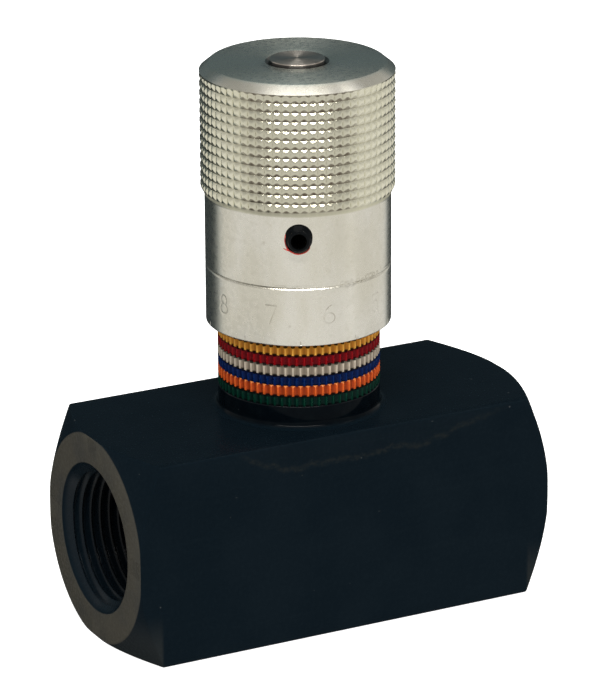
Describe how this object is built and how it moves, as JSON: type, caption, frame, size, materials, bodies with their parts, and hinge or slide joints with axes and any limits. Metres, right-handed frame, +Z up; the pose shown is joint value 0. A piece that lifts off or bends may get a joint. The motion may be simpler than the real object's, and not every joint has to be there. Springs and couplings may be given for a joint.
{
  "type": "flow control valve",
  "caption": "In-line needle flow control valve: square steel body with threaded pipe ports, coloured turn rings and a knurled aluminium knob.",
  "frame": {"origin": "centre of the body's flat underside, on the needle and knob axis", "axes": "+X along the ports from the low port to the high port, +Z up the knob axis, -Y towards the front flat"},
  "size_m": [0.0834, 0.0382, 0.103],
  "materials": {
    "black_oxide_steel": "black oxide, semi-gloss",
    "nitrile_rubber": "matt",
    "band_green": "coloured coat over fluted aluminium",
    "band_orange": "coloured coat over fluted aluminium",
    "band_blue": "coloured coat over fluted aluminium",
    "band_white": "coloured coat over fluted aluminium",
    "band_red": "coloured coat over fluted aluminium",
    "band_yellow": "coloured coat over fluted aluminium",
    "spring_steel": "phosphated",
    "stainless_steel": "turned",
    "ptfe": "smooth",
    "aluminium": "turned and diamond knurled",
    "black_screw_steel": "black oxide",
    "red_nylon": "smooth",
    "brass": "turned"
  },
  "bodies": {
    "housing": {"valve_body": "black_oxide_steel", "bonnet": "black_oxide_steel", "bonnet_o_ring": "nitrile_rubber", "band_green": "band_green", "band_orange": "band_orange", "band_blue": "band_blue", "band_white": "band_white", "band_red": "band_red", "band_yellow": "band_yellow", "band_retaining_ring": "spring_steel"},
    "stem_seals": {"stem_o_ring": "nitrile_rubber", "stem_backup_ring_lower": "ptfe", "stem_backup_ring_upper": "ptfe"},
    "knob_and_stem": {"needle_stem": "stainless_steel", "knob": "aluminium"},
    "lock_pad": {"screw_pad": "brass"},
    "lock_screw": {"set_screw": "black_screw_steel", "nylon_pellet": "red_nylon"}
  },
  "joints": [
    {"name": "stem_lift", "type": "slide", "parent": "housing", "child": "stem_seals", "axis": [0, 0, 1], "range_m": [-0.01152, 0]},
    {"name": "knob_turn", "type": "hinge", "parent": "stem_seals", "child": "knob_and_stem", "pos_m": [0, 0, 0.01905], "axis": [0, 0, 1], "range_deg": [-2160.1, 0]},
    {"name": "lock_pad_travel", "type": "slide", "parent": "knob_and_stem", "child": "lock_pad", "axis": [-0.4579, -0.889, 0], "range_m": [0, 0.00212]},
    {"name": "lock_screw_turn", "type": "hinge", "parent": "lock_pad", "child": "lock_screw", "pos_m": [0, 0, 0.0748], "axis": [0.4579, 0.889, 0], "range_deg": [-720.1, 0]}
  ],
  "couplings": [
    {"joint": "knob_turn", "follows": "stem_lift", "rad_per_m": 3272.5},
    {"joint": "lock_screw_turn", "follows": "lock_pad_travel", "rad_per_m": -5937.1}
  ]
}
